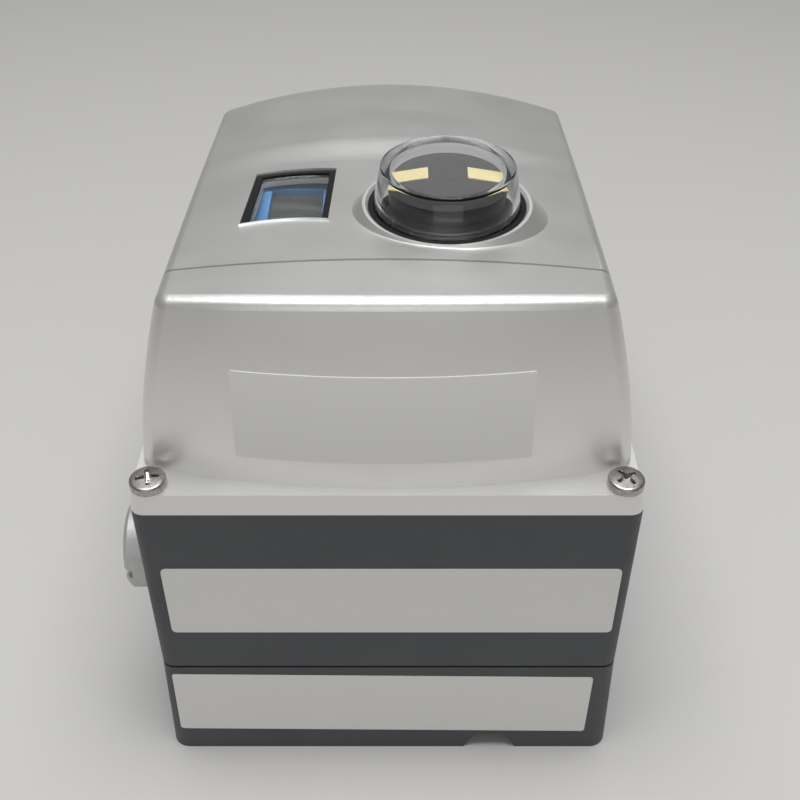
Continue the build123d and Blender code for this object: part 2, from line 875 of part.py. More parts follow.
# Dial drum: a black cup, open downwards, on the dial end of the shaft
drum_top = dome_cap_top_level - dome_cap_top - drum_gap
drum_rim = drum_top - drum_drop
drum_bottom = flange_top + drum_bottom_height
with BuildPart() as indicator_drum:
    add(
        revolved(
            [
                (hub_radius + fit_gap, drum_top - 3 * drum_wall),
                (hub_radius + fit_gap, drum_top),
                (bar_inner, drum_top),
                (drum_radius, drum_rim),
                (drum_radius, drum_bottom),
                (drum_radius - drum_wall, drum_bottom),
                (drum_radius - drum_wall, drum_rim - 2 * drum_wall),
                (dial_shaft_radius + 2 * drum_wall, drum_rim - 2 * drum_wall),
                (dial_shaft_radius + 2 * drum_wall, drum_bottom),
                (dial_shaft_radius + running_gap, drum_bottom),
                (dial_shaft_radius + running_gap, drum_top - 3 * drum_wall),
            ]
        )
    )
    # Slots for the two bars, level with the drum's conical top
    with BuildSketch(Plane.XZ):
        with BuildLine():
            Polyline(
                (bar_inner, drum_top - bar_depth),
                (drum_radius, drum_rim - bar_depth),
                (drum_radius, drum_top + bar_depth),
                (bar_inner, drum_top + bar_depth),
                close=True,
            )
        make_face()
        mirror(about=Plane.YZ)
    extrude(amount=bar_width / 2, both=True, mode=Mode.SUBTRACT)
finish(indicator_drum, "indicator_drum")


with BuildPart() as indicator_bars:
    with BuildSketch(Plane.XZ):
        with BuildLine():
            Polyline(
                (bar_inner + fit_gap, drum_top - bar_depth + fit_gap),
                (drum_radius - fit_gap, drum_rim - bar_depth + fit_gap),
                (drum_radius - fit_gap, drum_rim + bar_stand),
                (bar_inner + fit_gap, drum_top + bar_stand),
                close=True,
            )
        make_face()
        mirror(about=Plane.YZ)
    extrude(amount=bar_width / 2 - fit_gap, both=True)
finish(indicator_bars, "indicator_bars")


# Centre cap with its screw, which holds the drum on the shaft
dial_shaft_top = drum_top - 3 * drum_wall - fit_gap
with BuildPart() as indicator_cap:
    with BuildSketch(shaft_level(dial_shaft_top)):
        Circle(hub_radius)
    extrude(amount=drum_top - dial_shaft_top)
    with BuildSketch(shaft_level(dial_shaft_top)):
        Circle(m3_radius)
    extrude(amount=-cap_screw_length)
finish(indicator_cap, "indicator_cap")


# Window: a pane on the ledge and a black frame over it
with BuildPart() as window_pane:
    with BuildSketch(window_plane.offset(pane_level)):
        add(window_outline(seal_gap))
    extrude(amount=pane_thickness)
finish(window_pane, "window_pane")


with BuildPart() as window_frame:
    with BuildSketch(window_plane.offset(pane_level + pane_thickness)):
        add(window_outline(seal_gap))
        add(window_outline(window_frame_width), mode=Mode.SUBTRACT)
    extrude(amount=window_frame_depth)
finish(window_frame, "window_frame")


# Display carrier: a bent plate on two legs that stand on the web
leg_bottom = web_top
with BuildPart() as display_bracket:
    with BuildSketch(facing_left(module_x[0], 0, 0)) as profile:
        with BuildLine():
            Polyline(
                (-module_y[1] - bracket_foot, leg_bottom),
                (-module_y[1] + bracket_sheet, leg_bottom),
                (-module_y[1] + bracket_sheet, display_level - bracket_sheet),
                (-module_y[0] - bracket_sheet, display_level - bracket_sheet),
                (-module_y[0] - bracket_sheet, leg_bottom),
                (-module_y[0] + bracket_foot, leg_bottom),
                (-module_y[0] + bracket_foot, leg_bottom + bracket_sheet),
                (-module_y[0], leg_bottom + bracket_sheet),
                (-module_y[0], display_level),
                (-module_y[1], display_level),
                (-module_y[1], leg_bottom + bracket_sheet),
                (-module_y[1] - bracket_foot, leg_bottom + bracket_sheet),
                close=True,
            )
        make_face()
    extrude(amount=-(module_x[1] - module_x[0]))
    # Cable openings in the legs
    bracket_middle = (module_x[0] + module_x[1]) / 2
    leg_opening_height = (display_level - leg_bottom) * leg_opening_share
    with BuildSketch(
        facing_front(bracket_middle, module_y[1], (display_level + leg_bottom) / 2)
    ):
        RectangleRounded(
            (module_x[1] - module_x[0]) * leg_opening_share, leg_opening_height, corner_radius
        )
    extrude(amount=module_y[1] - module_y[0], mode=Mode.SUBTRACT)
    with BuildSketch(shaft_level(leg_bottom)):
        with Locations(
            (bracket_middle, module_y[0] - bracket_foot / 2),
            (bracket_middle, module_y[1] + bracket_foot / 2),
        ):
            Circle(m3_radius + clearance_hole_gap)
    extrude(amount=bracket_sheet, mode=Mode.SUBTRACT)
finish(display_bracket, "display_bracket")


module_top = display_level + module_height
with BuildPart() as display_module:
    with BuildSketch(shaft_level(display_level)):
        span(module_x, module_y)
    extrude(amount=module_height)
    fillet(display_module.edges().filter_by(Axis.Z), corner_radius)
    fillet(display_module.edges().group_by(Axis.Z)[-1], module_edge)
    with BuildSketch(shaft_level(module_top)):
        with Locations(*[(button_x, y) for y in button_y]):
            Circle(button_radius + button_gap)
    extrude(amount=-button_well_depth, mode=Mode.SUBTRACT)
finish(display_module, "display_module")


def inside_bezel(gap):
    """X and Y ranges of the space inside the bezel, narrowed by a gap."""
    return (
        (bezel_x[0] + bezel_bar + gap, bezel_x[1] - bezel_bar - gap),
        (bezel_y[0] + bezel_bar + gap, bezel_y[1] - bezel_bar - gap),
    )


with BuildPart() as display_bezel:
    with BuildSketch(shaft_level(module_top)):
        span(bezel_x, bezel_y)
    extrude(amount=bezel_height)
    fillet(display_bezel.edges().filter_by(Axis.Z), bezel_corner)
    with BuildSketch(shaft_level(module_top)):
        span(*inside_bezel(0))
    extrude(amount=bezel_height, mode=Mode.SUBTRACT)
finish(display_bezel, "display_bezel")


with BuildPart() as display_glass:
    with BuildSketch(shaft_level(module_top)):
        span(*inside_bezel(seal_gap))
    extrude(amount=glass_height)
finish(display_glass, "display_glass")


# The four setting buttons, each a stem with a rounded crown in its own well
button_foot = module_top - button_well_depth + button_travel + button_gap
for name, y in zip(("button_up", "button_down", "button_enter", "button_cancel"), button_y):
    with BuildPart() as button:
        with BuildSketch(Plane(origin=(button_x, y, button_foot))):
            Circle(button_radius)
        extrude(amount=button_height)
        fillet(button.edges().group_by(Axis.Z)[-1], button_crown)
    finish(button, name)


# Feedback shaft: tongue, coupling end, undercut, journal, gear seat and upper spigot
shaft_shoulder = shaft_recess + shaft_end_length
journal_bottom = shaft_shoulder + shaft_undercut[0]
with BuildPart() as feedback_shaft:
    with BuildSketch(shaft_level(journal_bottom)):
        Circle(shaft_radius)
    extrude(amount=feedback_shaft_top - journal_bottom)
    with BuildSketch(shaft_level(shaft_shoulder)):
        Circle(shaft_end_radius - shaft_undercut[1])
    extrude(amount=shaft_undercut[0])
    with BuildSketch(shaft_level(shaft_recess + tongue_length)):
        Circle(shaft_end_radius)
    extrude(amount=shaft_end_length - tongue_length)
    with BuildSketch(shaft_level(shaft_recess)):
        Circle(shaft_end_radius)
        Rectangle(tongue_thickness, 2 * shaft_end_radius, mode=Mode.INTERSECT)
    extrude(amount=tongue_length)
    # Groove for the seal ring
    with BuildSketch(shaft_level(seal_level)):
        Circle(shaft_radius)
        Circle(shaft_radius - seal_depth, mode=Mode.SUBTRACT)
    extrude(amount=seal_width, mode=Mode.SUBTRACT)
finish(feedback_shaft, "feedback_shaft")


with BuildPart() as shaft_seal:
    with BuildSketch(shaft_level(seal_level + fit_gap)):
        Circle(shaft_radius + running_gap / 2)
        Circle(shaft_radius - seal_depth + fit_gap, mode=Mode.SUBTRACT)
    extrude(amount=seal_width - 2 * fit_gap)
finish(shaft_seal, "shaft_seal")


def flanged_bush(inner, bottom, top):
    """Plain bush with a flange on its top end."""
    outer = inner + bush_wall
    return revolved(
        [
            (inner, bottom),
            (outer, bottom),
            (outer, top),
            (outer + bush_wall, top),
            (outer + bush_wall, top + bush_flange),
            (inner, top + bush_flange),
        ]
    )


shaft_boss_top = gear_height - 2 * bush_flange
with BuildPart() as shaft_bush:
    add(flanged_bush(shaft_radius + running_gap, recess_depth, shaft_boss_top))
finish(shaft_bush, "shaft_bush")


upper_boss_top = web_height + 2 * web_thickness
with BuildPart() as extension_bush:
    add(flanged_bush(upper_shaft_radius + running_gap, web_height - web_thickness, upper_boss_top))
finish(extension_bush, "extension_bush")


def gear(teeth, bore, x, y, turn):
    """Spur gear with straight flanked teeth, its hub on top."""
    pitch_radius = gear_module * teeth / 2
    root_radius = pitch_radius - tooth_root_depth * gear_module
    height = tooth_height * gear_module
    widening = 2 * tooth_root_depth * gear_module * math.tan(math.radians(pressure_angle))
    tooth_root = math.pi * gear_module / 2 - gear_backlash + widening
    with BuildPart() as wheel:
        with BuildSketch(Plane(origin=(x, y, gear_height))):
            Circle(root_radius + gear_backlash)
            with PolarLocations(root_radius + height / 2, teeth, start_angle=turn):
                Trapezoid(tooth_root, height, 90 - pressure_angle, rotation=-90)
        extrude(amount=gear_thickness)
        with BuildSketch(Plane(origin=(x, y, gear_height + gear_thickness))):
            Circle(bore + gear_hub)
        extrude(amount=gear_hub_height)
        with BuildSketch(Plane(origin=(x, y, gear_height))):
            Circle(bore + fit_gap)
        extrude(amount=gear_thickness + gear_hub_height, mode=Mode.SUBTRACT)
    return wheel


shaft_gear = gear(shaft_teeth, shaft_radius, 0, 0, 0)
finish(shaft_gear, "shaft_gear")

sensor_y = -gear_module * (shaft_teeth + sensor_teeth) / 2
sensor_gear = gear(sensor_teeth, sensor_pin_radius, 0, sensor_y, 180 / sensor_teeth)
finish(sensor_gear, "sensor_gear")


with BuildPart() as sensor_pin:
    with BuildSketch(Plane(origin=(0, sensor_y, floor_top + sensor_floor))):
        Circle(sensor_pin_radius)
    extrude(amount=gear_height + gear_thickness + gear_hub_height - floor_top - sensor_floor)
finish(sensor_pin, "sensor_pin")


with BuildPart() as position_sensor:
    with BuildSketch(Plane(origin=(0, sensor_y, floor_top))):
        RectangleRounded(sensor_size, sensor_size, corner_radius)
    extrude(amount=sensor_height)
    with BuildSketch(Plane(origin=(0, sensor_y, floor_top + sensor_height))):
        Circle(sensor_pin_radius * 2)
    extrude(amount=bush_flange)
    with BuildSketch(Plane(origin=(0, sensor_y, floor_top + sensor_floor / 2))):
        Circle(sensor_pin_radius + running_gap)
    extrude(amount=sensor_height + bush_flange, mode=Mode.SUBTRACT)
finish(position_sensor, "position_sensor")


# Extension shaft: sleeve over the feedback shaft, journal, cam seat and dial end
coupling_top = feedback_shaft_top + coupling_wall
with BuildPart() as extension_shaft:
    add(
        revolved(
            [
                (shaft_radius + fit_gap, coupling_bottom),
                (shaft_radius + coupling_wall, coupling_bottom),
                (shaft_radius + coupling_wall, coupling_top),
                (upper_shaft_radius, coupling_top),
                (upper_shaft_radius, drum_bottom - fit_gap),
                (dial_shaft_radius, drum_bottom - fit_gap),
                (dial_shaft_radius, dial_shaft_top),
                (0, dial_shaft_top),
                (0, feedback_shaft_top + fit_gap),
                (shaft_radius + fit_gap, feedback_shaft_top + fit_gap),
            ]
        )
    )
    with BuildSketch(shaft_level(dial_shaft_top)):
        Circle(m3_radius + thread_gap)
    extrude(amount=-cap_screw_length - thread_end_room, mode=Mode.SUBTRACT)
finish(extension_shaft, "extension_shaft")


# Cam discs: a high half that the switch sees and a low half that it doesn't
for name, height, turn in zip(("cam_lower", "cam_upper"), cam_heights, (0, 90)):
    with BuildPart() as cam:
        with BuildSketch(shaft_level(height)) as disc:
            Circle(cam_radius)
            with Locations(Pos(0, 0) * Rot(0, 0, turn) * Pos(cam_radius / 2, 0)):
                Rectangle(cam_radius, 2 * cam_radius, mode=Mode.INTERSECT)
            Circle(cam_low_radius)
        extrude(amount=cam_thickness)
        with BuildSketch(shaft_level(height - cam_thickness)):
            Circle(upper_shaft_radius + cam_hub)
        extrude(amount=3 * cam_thickness)
        with BuildSketch(shaft_level(height - cam_thickness)):
            Circle(upper_shaft_radius + fit_gap)
        extrude(amount=3 * cam_thickness, mode=Mode.SUBTRACT)
    finish(cam, name)


# Limit switches: threaded barrels that look at the cams, on an upright plate
switch_face = cam_radius + switch_gap
for name, height in zip(("switch_lower", "switch_upper"), cam_heights):
    switch_z = height + cam_thickness / 2
    with BuildPart() as limit_switch:
        with BuildSketch(facing_front(0, switch_face, switch_z)):
            Circle(switch_radius)
        extrude(amount=-switch_length)
        chamfer(limit_switch.edges().filter_by(GeomType.CIRCLE), switch_chamfer)
    finish(limit_switch, name)


with BuildPart() as switch_nuts:
    for height in cam_heights:
        for nut_y in (switch_plate_y, switch_plate_y + switch_plate + switch_nut_height):
            with BuildSketch(facing_front(0, nut_y, height + cam_thickness / 2)):
                RegularPolygon(switch_nut_across / 2, 6, major_radius=False)
                Circle(switch_radius + thread_gap, mode=Mode.SUBTRACT)
            extrude(amount=switch_nut_height)
finish(switch_nuts, "switch_nuts")


switch_plate_top = cam_heights[1] + cam_thickness / 2 + switch_nut_across / 2 + wall
with BuildPart() as switch_bracket:
    with BuildSketch(facing_left(-switch_plate_width / 2, 0, 0)):
        with BuildLine():
            Polyline(
                (-switch_plate_y, web_top),
                (-switch_plate_y, switch_plate_top),
                (-switch_plate_y - switch_plate, switch_plate_top),
                (-switch_plate_y - switch_plate, web_top + switch_plate),
                (-switch_plate_y - switch_plate - switch_foot, web_top + switch_plate),
                (-switch_plate_y - switch_plate - switch_foot, web_top),
                close=True,
            )
        make_face()
    extrude(amount=-switch_plate_width)
    for height in cam_heights:
        with BuildSketch(facing_front(0, switch_plate_y, height + cam_thickness / 2)):
            Circle(switch_radius + thread_gap)
        extrude(amount=-switch_plate, mode=Mode.SUBTRACT)
finish(switch_bracket, "switch_bracket")


# Terminal strip with a screw well over each wire hole
terminal_pitch = (extension_terminal_x[1] - extension_terminal_x[0]) / terminal_ways
terminal_x = (extension_terminal_x[0] + extension_terminal_x[1]) / 2
terminal_y = (extension_terminal_y[0] + extension_terminal_y[1]) / 2
with BuildPart() as extension_terminals:
    with BuildSketch(shaft_level(web_top)):
        span(extension_terminal_x, extension_terminal_y)
    extrude(amount=terminal_height)
    with BuildSketch(Plane(origin=(terminal_x, terminal_y, web_top + terminal_height))):
        with GridLocations(terminal_pitch, 0, terminal_ways, 1):
            Circle(terminal_well_radius)
    extrude(amount=-terminal_well_depth, mode=Mode.SUBTRACT)
    wire_plane = facing_front(terminal_x, extension_terminal_y[0], web_top + terminal_wire_level)
    with BuildSketch(wire_plane):
        with GridLocations(terminal_pitch, 0, terminal_ways, 1):
            Rectangle(*terminal_wire_size)
    extrude(amount=-terminal_wire_depth, mode=Mode.SUBTRACT)
finish(extension_terminals, "extension_terminals")


# Spool valve against the air port block, with its bore across the housing
spool_y = valve_front + valve_depth / 2
spool_z = floor_top + valve_height / 2
bore_plane = facing_left(valve_x[0], spool_y, spool_z)
with BuildPart() as spool_valve_body:
    with BuildSketch(shaft_level(floor_top)):
        span(valve_x, (valve_front, valve_front + valve_depth))
    extrude(amount=valve_height)
    fillet(spool_valve_body.edges().filter_by(Axis.Z), bezel_corner)
    with BuildSketch(bore_plane):
        Circle(spool_radius + running_gap)
    extrude(amount=-2 * valve_reach, mode=Mode.SUBTRACT)
finish(spool_valve_body, "spool_valve_body")


with BuildPart() as spool_end_covers:
    for x in (valve_x[0], valve_x[1] + valve_end_cover):
        with BuildSketch(facing_left(x, spool_y, spool_z)):
            RectangleRounded(
                valve_depth - 2 * valve_end_inset, valve_height - 2 * valve_end_inset, corner_radius
            )
        extrude(amount=valve_end_cover)
finish(spool_end_covers, "spool_end_covers")


# Spool: a rod with three lands
with BuildPart() as spool:
    with BuildSketch(facing_left(middle_x - spool_length / 2, spool_y, spool_z)):
        Circle(spool_stem_radius)
    extrude(amount=-spool_length)
    for index in (-1, 0, 1):
        land_x = middle_x + index * spool_land_pitch - spool_land / 2
        with BuildSketch(facing_left(land_x, spool_y, spool_z)):
            Circle(spool_radius)
        extrude(amount=-spool_land)
finish(spool, "spool")


with BuildPart() as prestage_unit:
    with BuildSketch(shaft_level(floor_top)):
        span(prestage_x, prestage_y)
    extrude(amount=prestage_height)
    fillet(prestage_unit.edges().filter_by(Axis.Z), bezel_corner)
    prestage_middle = (
        (prestage_x[0] + prestage_x[1]) / 2,
        (prestage_y[0] + prestage_y[1]) / 2,
    )
    with BuildSketch(Plane(origin=(*prestage_middle, floor_top + prestage_height))):
        Circle(prestage_coil_radius)
    extrude(amount=prestage_coil_height)
finish(prestage_unit, "prestage_unit")


# Controller board on four pillars, its cover and their screws
board_places = [
    (x, y)
    for x in (board_x[0] + pillar_inset, board_x[1] - pillar_inset)
    for y in (board_y[0] + pillar_inset, board_y[1] - pillar_inset)
]
with BuildPart() as board_pillars:
    with BuildSketch(shaft_level(floor_top)):
        with Locations(*board_places):
            RegularPolygon(pillar_radius, 6)
    extrude(amount=board_level - floor_top)
    with BuildSketch(shaft_level(board_level)):
        with Locations(*board_places):
            Circle(m3_radius + thread_gap)
    extrude(amount=-pillar_thread, mode=Mode.SUBTRACT)
finish(board_pillars, "board_pillars")


board_top = board_level + board_thickness
with BuildPart() as controller_board:
    with BuildSketch(shaft_level(board_level)):
        span(board_x, board_y)
    extrude(amount=board_thickness)
    with BuildSketch(shaft_level(board_top)):
        with Locations(
            (board_x[0] + chip_place[0], board_y[0] + chip_place[1]),
            (board_x[0] + chip_place[0], board_y[1] - chip_place[1]),
        ):
            Rectangle(chip_size, chip_size)
        with Locations((board_x[0] + connector_place[0], board_y[0] + connector_place[1])):
            Rectangle(*connector_size)
    extrude(amount=board_part_height)
    with BuildSketch(shaft_level(board_level)):
        Circle(shaft_radius + coupling_wall + board_shaft_gap)
        with Locations(*board_places):
            Circle(m3_radius + clearance_hole_gap)
    extrude(amount=board_thickness, mode=Mode.SUBTRACT)
finish(controller_board, "controller_board")


with BuildPart() as board_cover:
    with BuildSketch(shaft_level(board_top)):
        span(board_x, board_y)
    extrude(amount=board_cover_height)
    with BuildSketch(shaft_level(board_top)):
        span(
            (board_x[0] + board_cover_wall, board_x[1] - board_cover_wall),
            (board_y[0] + board_cover_wall, board_y[1] - board_cover_wall),
        )
    extrude(amount=board_cover_height - board_cover_wall, mode=Mode.SUBTRACT)
    with BuildSketch(shaft_level(board_top)):
        with Locations(*board_places):
            Circle(pillar_radius)
    extrude(amount=board_cover_height - board_cover_wall)
    with BuildSketch(shaft_level(board_top)):
        Circle(upper_bush_radius + wall + board_shaft_gap)
        with Locations(*board_places):
            Circle(m3_radius + clearance_hole_gap)
    extrude(amount=board_cover_height, mode=Mode.SUBTRACT)
finish(board_cover, "board_cover")


with BuildPart() as board_screws:
    with BuildSketch(shaft_level(board_top + board_cover_height)):
        with Locations(*board_places):
            Circle(m3_head_radius)
    extrude(amount=m3_head_height)
    with BuildSketch(shaft_level(board_top + board_cover_height)):
        with Locations(*board_places):
            Circle(m3_radius)
    extrude(amount=-(board_cover_height + board_thickness + pillar_thread - thread_end_room))
finish(board_screws, "board_screws")


def blanking_plug(entry_y, height):
    """Blanking plug: round head with a coin slot, and the threaded spigot."""
    head_x = left_x - plug_seal
    with BuildPart() as plug:
        with BuildSketch(facing_left(head_x, entry_y, height)):
            Circle(plug_head_radius - plug_head_inset)
        extrude(amount=plug_head)
        chamfer(plug.edges().group_by(Axis.X)[0], plug_chamfer)
        with BuildSketch(facing_left(head_x - plug_head, entry_y, height)):
            Rectangle(2 * plug_head_radius, plug_slot_width)
        extrude(amount=-plug_slot_depth, mode=Mode.SUBTRACT)
        with BuildSketch(facing_left(head_x, entry_y, height)):
            Circle(conduit_radius - thread_gap)
        extrude(amount=-(plug_thread + plug_seal))
    return plug


def plug_washer(entry_y, height):
    """Seal washer under a blanking plug's head."""
    with BuildPart() as washer:
        with BuildSketch(facing_left(left_x, entry_y, height)):
            Circle(plug_head_radius - plug_head_inset - seal_gap)
            Circle(conduit_radius + seal_gap, mode=Mode.SUBTRACT)
        extrude(amount=plug_seal)
    return washer


conduit_plug = blanking_plug(conduit_y[0], extension_conduit_height)
finish(conduit_plug, "conduit_plug")

conduit_plug_seal = plug_washer(conduit_y[0], extension_conduit_height)
finish(conduit_plug_seal, "conduit_plug_seal")

base_conduit_plug = blanking_plug(conduit_y[1], base_conduit_height)
finish(base_conduit_plug, "base_conduit_plug")

base_conduit_plug_seal = plug_washer(conduit_y[1], base_conduit_height)
finish(base_conduit_plug_seal, "base_conduit_plug_seal")


# Exhaust filter in the port nearest the left side
exhaust_x = middle_x - 1.5 * port_pitch
with BuildPart() as exhaust_filter:
    with BuildSketch(facing_front(exhaust_x, back_y - filter_thread, base_conduit_height)):
        Circle(port_radius - thread_gap)
    extrude(amount=-filter_thread)
    with BuildSketch(facing_front(exhaust_x, back_y, base_conduit_height)):
        RegularPolygon(filter_hex_radius, 6)
    extrude(amount=-filter_hex_height)
    with BuildSketch(facing_front(exhaust_x, back_y + filter_hex_height, base_conduit_height)):
        Circle(filter_dome_radius)
    extrude(amount=-filter_dome_height)
    fillet(exhaust_filter.edges().group_by(Axis.Y)[-1], filter_dome_edge)
finish(exhaust_filter, "exhaust_filter")


# Outer earth screw with its washer
with BuildPart() as ground_screw:
    with BuildSketch(facing_left(left_x, ground_y, base_conduit_height)):
        Circle(ground_washer_radius)
    extrude(amount=bush_flange)
    with BuildSketch(facing_left(left_x - bush_flange, ground_y, base_conduit_height)):
        Circle(m4_head_radius)
    extrude(amount=m4_head_height)
    fillet(ground_screw.edges().group_by(Axis.X)[0], m4_head_crown)
    with BuildSketch(facing_left(left_x, ground_y, base_conduit_height)):
        Circle(m4_radius)
    extrude(amount=-(ground_depth - thread_end_room))
finish(ground_screw, "ground_screw")
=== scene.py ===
import json
import math

import bpy
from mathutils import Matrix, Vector
from mathutils.bvhtree import BVHTree


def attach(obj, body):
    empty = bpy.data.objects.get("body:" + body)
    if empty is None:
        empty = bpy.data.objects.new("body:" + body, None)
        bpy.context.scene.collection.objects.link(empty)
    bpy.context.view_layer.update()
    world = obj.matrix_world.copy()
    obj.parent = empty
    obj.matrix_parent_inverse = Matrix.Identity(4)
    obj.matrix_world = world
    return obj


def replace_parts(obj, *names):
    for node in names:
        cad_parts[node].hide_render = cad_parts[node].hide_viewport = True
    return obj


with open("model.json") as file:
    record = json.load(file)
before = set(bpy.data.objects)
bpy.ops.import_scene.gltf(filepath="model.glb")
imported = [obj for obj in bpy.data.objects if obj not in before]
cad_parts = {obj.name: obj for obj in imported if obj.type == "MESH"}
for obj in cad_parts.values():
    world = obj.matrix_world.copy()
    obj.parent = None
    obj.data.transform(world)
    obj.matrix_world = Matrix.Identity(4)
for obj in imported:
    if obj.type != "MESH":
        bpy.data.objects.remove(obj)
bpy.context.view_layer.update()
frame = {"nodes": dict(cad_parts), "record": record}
nodes = frame["nodes"]

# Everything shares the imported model's frame, in metres. The tables below are in millimetres,
# apart from the camera, floor and lamps
MM = 0.001

# Camera at the photograph's viewing angle
CAMERA_PLACE = (-11.5 * MM, -239.1 * MM, 271.8 * MM)
CAMERA_TILT = 51.0
CAMERA_LENS = 49.5
CAMERA_SENSOR = 36.0
CAMERA_CLIP = 0.01

# Floor colours in front of the object, beside it and far behind it, and where they lie in y. Those in front
# and far behind are darker as painted shade
FLOOR_PAINTED_SHADE_COLOURS = ((0.62, 0.612, 0.606, 1.0), (0.65, 0.642, 0.636, 1.0), (0.55, 0.544, 0.538, 1.0))
FLOOR_PLACES = (-0.30, -0.06, 0.56)
FLOOR_HALF_WIDTH = 4.0
FLOOR_ROUGHNESS = 0.8

# Lamps: name, azimuth from the back, elevation, distance, size and brightness of the face
LAMP_AIM = (-0.01, 0.02, 0.09)
LAMPS = (
    ("overhead", 180.0, 86.0, 1.1, (0.86, 0.56), 6.5),
    ("back_high", 0.0, 54.0, 1.4, (1.3, 0.40), 1.5),
    ("back_panel", 0.0, 27.0, 1.5, (1.5, 0.22), 0.45),
    ("front_panel", 180.0, 25.0, 1.5, (1.3, 0.8), 0.8),
)
SKY_COLOUR = (0.80, 0.80, 0.80, 1.0)
SKY_STRENGTH = 0.25

# Grain of the materials: the part of a noise's range in use, its fineness and its relief
NOISE_RANGE = (0.3, 0.7)
FINE_DETAIL = 4.0
BROAD_GRAIN = 60.0
BROAD_DETAIL = 3.0
RELIEF_STRENGTH = 0.6

# Clear plastic: its tint and the grain of the film on it
CLEAR_TINT = (0.97, 0.98, 0.98, 1.0)
FILM_GRAIN = 90.0

# Edges sharper than this, in degrees, show as edges
CREASE_ANGLE = 35.0

# Clear dial cap, as radius and height from its foot round to its inside
DOME_PROFILE = (
    (15.8, 127.0), (22.5, 127.0), (22.5, 129.2), (18.1, 129.2), (18.1, 140.4), (16.38, 149.85),
    (16.28, 150.08), (16.05, 150.2), (15.85, 150.2), (0.0, 150.2), (0.0, 148.2), (13.55, 148.2),
    (13.75, 148.2), (14.0, 147.95), (15.8, 140.4),
)
DOME_SEGMENTS = 128

# Pan head screws of the cover, each with its x, y and turn in degrees, and their cross recess
SCREW_PLACES = ((-69.8, -53.3, 12.0), (40.8, -53.3, 35.0), (-69.8, 111.3, 60.0), (40.8, 111.3, -20.0))
SCREW_BASE = 96.2
SCREW_RADIUS = 4.3
SCREW_HEIGHT = 2.5
SCREW_CROWN = 0.35
SCREW_EDGE = 0.75
SCREW_EDGE_STEPS = 5
SCREW_SHANK = (2.0, -12.6)
SCREW_CREASE_ANGLE = 28.0
CROSS_REACH = 2.7
CROSS_HALF_WIDTH = 0.58
CROSS_DEPTH = 1.9
CROSS_EDGE = 0.08
CROSS_NARROWING = 0.35
CROSS_RISE = 0.6
SCREW_RINGS = 30
SCREW_SPOKES = 96

# The window's clear pane reaches up to a thin frame. Faces this level count as its top
PANE_RISE = 1.3
PANE_FACING = 0.9

# Silver lip in front of the display window
LIP_MIDDLE = (-39.7, 13.8)
LIP_HALF_WIDTH = 11.1
LIP_FROM_MIDDLE = 18.15
LIP_BOW = 1.4
LIP_SECTION = ((-0.62, -0.10), (-0.12, 0.36), (0.12, 0.36), (0.22, -0.50))
LIP_STEPS = 24
LIP_PROBE_AHEAD = 0.3

# Where the probing rays start, well outside the object
PROBE_START = 0.3

# Bare plates: centre in x and z, width, height, corner radius, turn in degrees
COVER_LABEL = (-15.2, 115.0, 67.5, 22.4, 0.8, 0.0)
EXTENSION_LABEL = (-13.6, 60.8, 112.0, 23.6, 1.3, 0.0)
BASE_LABEL = (-16.2, 19.5, 112.0, 23.0, 0.9, 0.65)
LABEL_THICKNESS = 0.22 * MM
LABEL_COLUMNS = 48
LABEL_ROWS = 8
LABEL_CORNER_ROWS = 5

# Threads shown in the open entries. Those from M20_RADIUS_FROM up are M20, the others G1/4.
# Start, depth, foot and crest are shares of the pitch
M20_PITCH = 1.5 * MM
G14_PITCH = 1.34 * MM
M20_RADIUS_FROM = 8.0
THREAD_STEPS = 36
THREAD_RUN_OUT = 12
THREAD_START = 0.5
THREAD_DEPTH = 0.28
THREAD_FOOT = 0.36
THREAD_CREST = 0.08

# Painted shade along the crease across the roof: its place, half width, lowest height and the painted shade's
# colour
CREASE_Y = -27.8 * MM
CREASE_HALF_WIDTH = 0.45 * MM
CREASE_LOWEST = 134.0 * MM
CREASE_PAINTED_SHADE = 0.42


def link(piece):
    """Puts an object into the scene."""
    bpy.context.scene.collection.objects.link(piece)
    return piece


def add_piece(name, vertices, faces, material, body="housing", crease=CREASE_ANGLE):
    """Mesh piece that rides on a body, smooth but for its sharp edges."""
    mesh = bpy.data.meshes.new(name)
    mesh.from_pydata(vertices, [], faces)
    mesh.validate()
    mesh.shade_smooth()
    mesh.set_sharp_from_angle(angle=math.radians(crease))
    mesh.materials.append(material)
    piece = link(bpy.data.objects.new(name, mesh))
    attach(piece, body)
    return piece


# Materials
def new_tree(name):
    """Material with its node tree and its Principled shader."""
    material = bpy.data.materials.new(name)
    material.use_nodes = True
    tree = material.node_tree
    return material, tree, tree.nodes["Principled BSDF"]


def noise_node(tree, scale, detail, stretch=(1.0, 1.0, 1.0)):
    """Noise in the object's own coordinates, stretched along its axes."""
    place = tree.nodes.new("ShaderNodeTexCoord")
    mapping = tree.nodes.new("ShaderNodeMapping")
    mapping.inputs["Scale"].default_value = stretch
    noise = tree.nodes.new("ShaderNodeTexNoise")
    noise.inputs["Scale"].default_value = scale
    noise.inputs["Detail"].default_value = detail
    tree.links.new(place.outputs["Object"], mapping.inputs["Vector"])
    tree.links.new(mapping.outputs["Vector"], noise.inputs["Vector"])
    return noise


def colour_ramp(tree, source, low, high):
    """Colour that runs from low to high over part of a noise's range."""
    ramp = tree.nodes.new("ShaderNodeValToRGB")
    ramp.color_ramp.elements[0].position = NOISE_RANGE[0]
    ramp.color_ramp.elements[0].color = (*low, 1.0)
    ramp.color_ramp.elements[1].position = NOISE_RANGE[1]
    ramp.color_ramp.elements[1].color = (*high, 1.0)
    tree.links.new(source.outputs["Fac"], ramp.inputs["Fac"])
    return ramp


